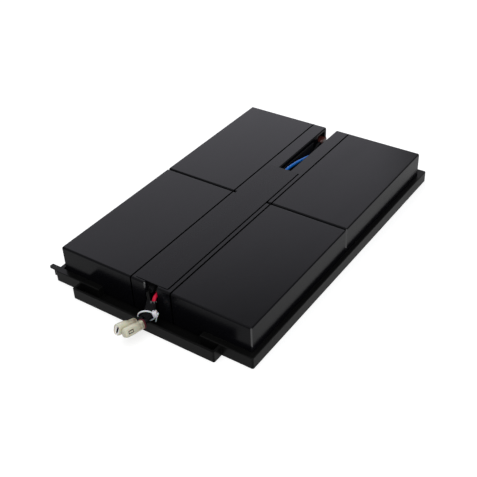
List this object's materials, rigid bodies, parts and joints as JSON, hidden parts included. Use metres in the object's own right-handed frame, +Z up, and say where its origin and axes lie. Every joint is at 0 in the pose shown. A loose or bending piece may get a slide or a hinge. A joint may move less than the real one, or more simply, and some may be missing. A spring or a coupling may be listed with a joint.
{
  "type": "ups battery cartridge",
  "caption": "Flat battery cartridge: slim sealed batteries on a shallow tray, a wiring channel between them under a cover strip, and short leads with push-on connectors at the front.",
  "frame": {"origin": "middle of the footprint of the tray with its ear and cable bay, on the surface it rests on", "axes": "+X to the right seen from the leads, +Y from the leads to the back, +Z up"},
  "size_m": [0.2204, 0.3555, 0.0364],
  "materials": {
    "tray": "satin black moulded plastic",
    "battery_case": "charcoal moulded plastic with a fine texture",
    "battery_lid": "charcoal moulded plastic with a fine texture",
    "vent_cover": "charcoal moulded plastic",
    "mounting_tape": "closed-cell foam tape",
    "terminal": "tinned brass",
    "receptacle": "tinned brass",
    "boot_black": "soft vinyl",
    "boot_red": "soft vinyl",
    "channel_cover": "thin black plastic sheet",
    "wire_red": "glossy wire insulation",
    "wire_black": "glossy wire insulation",
    "wire_blue": "glossy wire insulation",
    "lead_sleeve": "soft tube",
    "cable_tie": "translucent white nylon",
    "connector_housing": "natural nylon",
    "contact": "tinned brass"
  },
  "bodies": {
    "root": {"tray": "tray", "battery_case_front_left": "battery_case", "battery_lid_front_left": "battery_lid", "vent_cover_front_left": "vent_cover", "mounting_tape_front_left": "mounting_tape", "terminal_negative_front_left": "terminal", "receptacle_negative_front_left": "receptacle", "boot_negative_front_left": "boot_black", "terminal_positive_front_left": "terminal", "receptacle_positive_front_left": "receptacle", "boot_positive_front_left": "boot_red", "battery_case_front_right": "battery_case", "battery_lid_front_right": "battery_lid", "vent_cover_front_right": "vent_cover", "mounting_tape_front_right": "mounting_tape", "terminal_negative_front_right": "terminal", "receptacle_negative_front_right": "receptacle", "boot_negative_front_right": "boot_black", "terminal_positive_front_right": "terminal", "receptacle_positive_front_right": "receptacle", "boot_positive_front_right": "boot_red", "battery_case_rear_left": "battery_case", "battery_lid_rear_left": "battery_lid", "vent_cover_rear_left": "vent_cover", "mounting_tape_rear_left": "mounting_tape", "terminal_negative_rear_left": "terminal", "receptacle_negative_rear_left": "receptacle", "boot_negative_rear_left": "boot_black", "terminal_positive_rear_left": "terminal", "receptacle_positive_rear_left": "receptacle", "boot_positive_rear_left": "boot_red", "battery_case_rear_right": "battery_case", "battery_lid_rear_right": "battery_lid", "vent_cover_rear_right": "vent_cover", "mounting_tape_rear_right": "mounting_tape", "terminal_negative_rear_right": "terminal", "receptacle_negative_rear_right": "receptacle", "boot_negative_rear_right": "boot_black", "terminal_positive_rear_right": "terminal", "receptacle_positive_rear_right": "receptacle", "boot_positive_rear_right": "boot_red", "channel_cover": "channel_cover", "lead_red": "wire_red", "lead_black": "wire_black", "jumper_rear": "wire_blue", "jumper_left": "wire_black", "jumper_right": "wire_black", "lead_sleeve": "lead_sleeve", "cable_tie": "cable_tie", "connector_socket_housing": "connector_housing", "connector_pin_housing": "connector_housing", "connector_socket_contact": "contact"}
  },
  "joints": []
}
